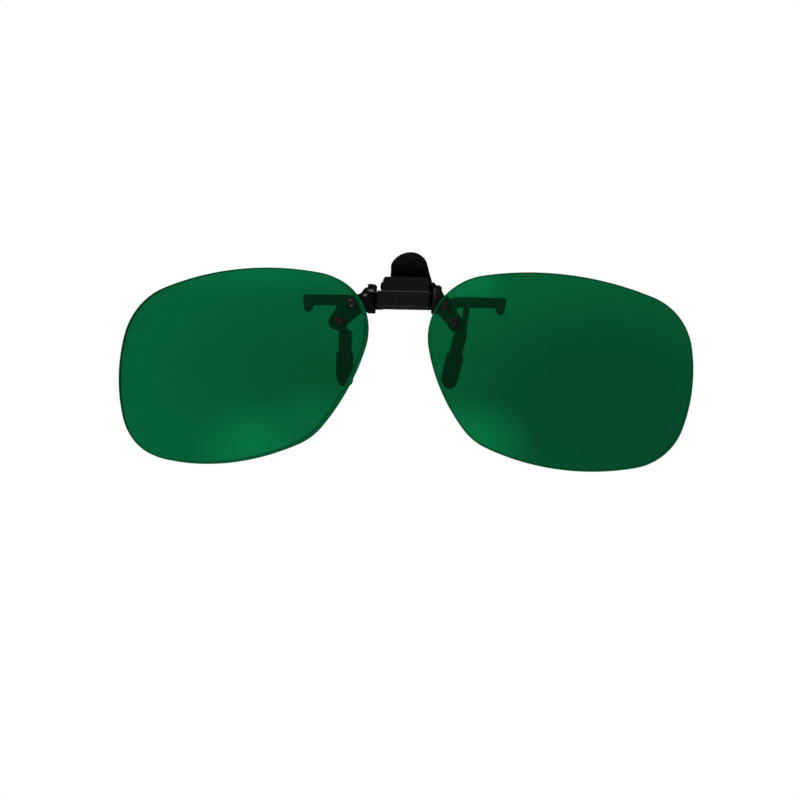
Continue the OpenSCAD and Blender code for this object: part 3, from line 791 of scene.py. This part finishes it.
def mould_lens(word):
    """A spherical lens: rings of the outline laid on its front and back, with a rounded rim. The
    attribute rim is 1 on the rim, where the lens is ground and not clear."""
    bm = bmesh.new()
    rim = bm.verts.layers.float.new("rim")
    outline = lens_outline()
    middle = sum(outline, Vector((0, 0))) / len(outline)
    place = Matrix.Translation(LENS_FRONT) @ Matrix.Rotation(LENS_WRAP, 4, "Z")

    def on_sphere(p, radius):
        depth = LENS_R - math.sqrt(radius**2 - p.x**2 - p.y**2)
        return place @ Vector((p.x, depth, p.y))

    def ring(points, shade):
        made = bmesh.ops.create_circle(bm, cap_ends=False, segments=OUTLINE_POINTS, radius=1)
        for vert, point in zip(made["verts"], points):
            vert.co = point
            vert[rim] = shade
        return edges_round(made["verts"])

    def bridge(loops):
        for a, b in zip(loops, loops[1:]):
            bmesh.ops.bridge_loops(bm, edges=a + b)

    face_edges = []
    for radius in (LENS_R, LENS_R - LENS_T):
        loops = []
        for share in FACE_RINGS:
            points = [on_sphere(middle + (p - middle) * share, radius) for p in outline]
            loops.append(ring(points, 0.0 if loops else FACE_EDGE_SHADE))
        bridge(loops)
        bmesh.ops.contextual_create(bm, geom=loops[-1])
        face_edges.append(loops[0])
    front = [on_sphere(p, LENS_R) for p in outline]
    back = [on_sphere(p, LENS_R - LENS_T) for p in outline]
    rim_loops = []
    for share, shade in RIM_RINGS:
        rim_loops.append(ring([f.lerp(b, share) for f, b in zip(front, back)], shade))
    bridge([face_edges[0]] + rim_loops + [face_edges[1]])
    bmesh.ops.scale(bm, vec=(SIDES[word], 1, 1), verts=bm.verts)
    node = "lens_" + word
    lens = finish_piece(node + "_moulded", bm, LENS_GREEN[word], node)
    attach(lens, BODY_OF[node])


for word in SIDES:
    mould_lens(word)

# The stage and its light
FLOOR_DROP = 1.45
FLOOR_HALF = 1.0
FLOOR_FRONT = 0.5
# Strength of the white studio for diffuse light, and for gloss in front of and behind the object
STUDIO_DIFFUSE = 0.6
GLOSS_FRONT = 0.028
GLOSS_REAR = 0.01
# Y of a direction at which the gloss of the front ends and that of the rear begins
FRONT_UNTIL = -0.3
REAR_FROM = 0.9
# Each lamp: direction as right, up and towards the camera, distance, width and height, watts
LAMPS = {
    "key": ((-1.3, 1.0, -0.5), 1.2, (0.5, 0.3), 2),
    "fill": ((1.3, 0.5, -0.1), 1.4, (0.5, 0.5), 1.5),
    "top": ((-0.2, 0.9, -0.5), 1.2, (0.7, 0.3), 1.0),
}


def studio_paper():
    """Matt white background paper, faintly cloudy over 40 mm."""
    material, tree, shader = new_material("Pale studio paper")
    fibre = add_node(
        tree,
        "ShaderNodeTexNoise",
        "Fac",
        {
            "Vector": add_node(tree, "ShaderNodeTexCoord", "Object"),
            "Scale": noise_scale(40),
            "Detail": 2,
        },
    )
    white = add_node(
        tree,
        "ShaderNodeValToRGB",
        "Color",
        {"Fac": fibre},
        stops=[(0.3, "f9f9f9"), (0.7, "fdfdfd")],
    )
    inputs = {"Base Color": white, "Roughness": 0.9, "Specular IOR Level": 0.1}
    fill_inputs(tree, shader, inputs)
    return material


def sweep_floor():
    """A plain pale floor, far enough below for the low camera to pass over it. It starts just in
    front of the object, so that the dark studio and not the floor shows in the lenses."""
    bm = bmesh.new()
    bmesh.ops.create_grid(bm, x_segments=1, y_segments=1, size=FLOOR_HALF)
    bmesh.ops.translate(bm, vec=(0, FLOOR_HALF - FLOOR_FRONT, -FLOOR_DROP), verts=bm.verts)
    mesh = bpy.data.meshes.new("floor")
    bm.to_mesh(mesh)
    bm.free()
    mesh.materials.append(studio_paper())
    floor = bpy.data.objects.new("floor", mesh)
    bpy.context.scene.collection.objects.link(floor)


def studio_world():
    """White behind the object for the camera and through the lenses, soft white light on what is
    matt, and near black in gloss, as a studio is behind its lamps."""
    world = bpy.data.worlds.new("studio")
    world.use_nodes = True
    bpy.context.scene.world = world
    tree = world.node_tree
    camera_ray = add_node(tree, "ShaderNodeLightPath", "Is Camera Ray")
    lens_ray = add_node(tree, "ShaderNodeLightPath", "Is Transmission Ray")
    glossy_ray = add_node(tree, "ShaderNodeLightPath", "Is Glossy Ray")
    seen = add_node(
        tree,
        "ShaderNodeMath",
        "Value",
        {0: camera_ray, 1: lens_ray},
        {"operation": "MAXIMUM"},
    )
    way = add_node(tree, "ShaderNodeTexCoord", "Generated")
    along = add_node(tree, "ShaderNodeSeparateXYZ", "Y", {"Vector": way})
    gloss = add_node(
        tree,
        "ShaderNodeMapRange",
        "Result",
        {
            "Value": along,
            "From Min": FRONT_UNTIL,
            "From Max": REAR_FROM,
            "To Min": GLOSS_FRONT,
            "To Max": GLOSS_REAR,
        },
    )
    diffuse = add_node(
        tree,
        "ShaderNodeMapRange",
        "Result",
        {"Value": glossy_ray, "To Min": STUDIO_DIFFUSE, "To Max": 0.0},
    )
    light = add_node(
        tree,
        "ShaderNodeMath",
        "Value",
        {0: gloss, 1: glossy_ray, 2: diffuse},
        {"operation": "MULTIPLY_ADD"},
    )
    strength = add_node(
        tree,
        "ShaderNodeMath",
        "Value",
        {0: seen, 1: light},
        {"operation": "MAXIMUM"},
    )
    fill_inputs(tree, tree.nodes["Background"], {"Color": (1, 1, 1, 1), "Strength": strength})


def soft_lamp(name, direction, distance, size, watts):
    """A soft lamp aimed at the clip from a direction in the camera's view."""
    data = bpy.data.lights.new(name, "AREA")
    data.shape = "RECTANGLE"
    data.size, data.size_y = size
    data.energy = watts
    right, up, near = direction
    way = (right * VIEW_RIGHT + up * VIEW_UP - near * VIEW_LOOK).normalized()
    turn = way.to_track_quat("Z", "Y").to_matrix().to_4x4()
    lamp = bpy.data.objects.new(name, data)
    lamp.matrix_world = Matrix.Translation(way * distance) @ turn
    bpy.context.scene.collection.objects.link(lamp)


sweep_floor()
studio_world()
for name, values in LAMPS.items():
    soft_lamp(name, *values)
